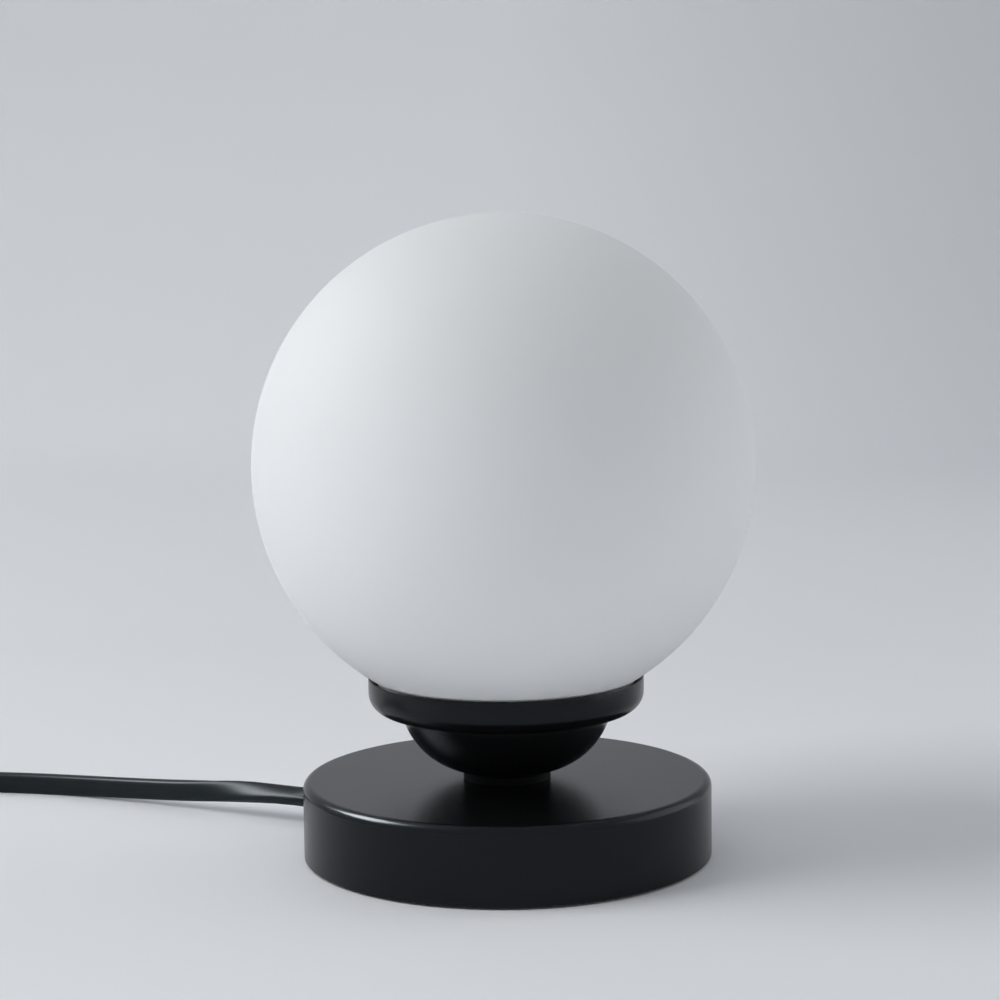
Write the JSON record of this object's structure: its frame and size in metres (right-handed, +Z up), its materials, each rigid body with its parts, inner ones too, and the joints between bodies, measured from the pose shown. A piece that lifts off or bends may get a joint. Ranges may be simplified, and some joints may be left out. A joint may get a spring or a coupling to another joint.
{
  "type": "table lamp",
  "caption": "Opal glass globe in a black steel cup on a weighted round base, with a screw lampholder and bulb inside and a flat mains lead with switch, tied coil and plug.",
  "frame": {"origin": "On the table, under the middle of the round base.", "axes": "+Z up through the globe. -Y is the side that the picture shows. The lead leaves the base at the back left and its coil lies to the left, towards -X."},
  "size_m": [0.4343, 0.175, 0.1934],
  "materials": {
    "opal_glass": "satin opal white, blown",
    "black_paint": "satin black powder coat",
    "ballast_iron": "as cast",
    "zinc_steel": "bright zinc plate",
    "foot_foam": "fine-celled foam",
    "bushing_rubber": "moulded, matt",
    "clear_silicone": "translucent, moulded",
    "holder_plastic": "moulded phenolic",
    "holder_ceramic": "glazed steatite",
    "shell_brass": "drawn sheet",
    "bulb_black": "black cap glass",
    "bulb_cap_metal": "bright rolled sheet",
    "bulb_white": "moulded white",
    "bulb_dome": "frosted white",
    "black_pvc": "extruded, satin",
    "brown_wire": "extruded",
    "blue_wire": "extruded",
    "switch_plastic": "spark-eroded moulding",
    "tie_fabric": "woven hook-and-loop strap",
    "plug_pvc": "moulded PVC",
    "pin_nickel": "nickel plate"
  },
  "bodies": {
    "root": {"foot_ring": "foot_foam", "bottom_cover": "zinc_steel", "cover_screws": "zinc_steel", "ballast": "ballast_iron", "base_pan": "black_paint", "cord_bushing": "bushing_rubber", "inner_cord": "black_pvc", "live_wire": "brown_wire", "neutral_wire": "blue_wire", "nipple": "zinc_steel", "lower_nut": "zinc_steel", "lower_washer": "zinc_steel", "collar": "black_paint", "upper_washer": "zinc_steel", "upper_nut": "zinc_steel", "cup": "black_paint", "gasket": "clear_silicone", "lampholder_cap": "holder_plastic", "lampholder_body": "holder_plastic", "lampholder_insert": "holder_ceramic", "lampholder_shell": "shell_brass", "lampholder_contact": "shell_brass", "terminal_blocks": "shell_brass", "terminal_screws": "zinc_steel", "cord_free": "black_pvc", "switch_lower": "switch_plastic", "switch_upper": "switch_plastic", "switch_screws": "zinc_steel", "switch_pin": "zinc_steel", "switch_contacts": "shell_brass", "cord_link": "black_pvc", "cord_coil": "black_pvc", "cord_tie": "tie_fabric", "cord_tail": "black_pvc", "plug_body": "plug_pvc", "plug_pin_left": "pin_nickel", "plug_pin_right": "pin_nickel", "plug_sleeves": "plug_pvc"},
    "globe": {"globe": "opal_glass"},
    "bulb": {"bulb_contact": "shell_brass", "bulb_insulator": "bulb_black", "bulb_screw_shell": "bulb_cap_metal", "bulb_housing": "bulb_white", "led_board": "bulb_cap_metal", "bulb_envelope": "bulb_dome"},
    "rocker": {"switch_rocker": "switch_plastic"}
  },
  "joints": [
    {"name": "globe_lift", "type": "slide", "parent": "root", "child": "globe", "axis": [0, 0, 1], "range_m": [0, 0.11]},
    {"name": "bulb_lift", "type": "slide", "parent": "root", "child": "bulb", "axis": [0, 0, 1], "range_m": [0, 0.03]},
    {"name": "rocker_tip", "type": "hinge", "parent": "root", "child": "rocker", "pos_m": [-0.248, 0.088, 0.0106], "axis": [0, 1, 0], "range_deg": [0, 16]}
  ]
}
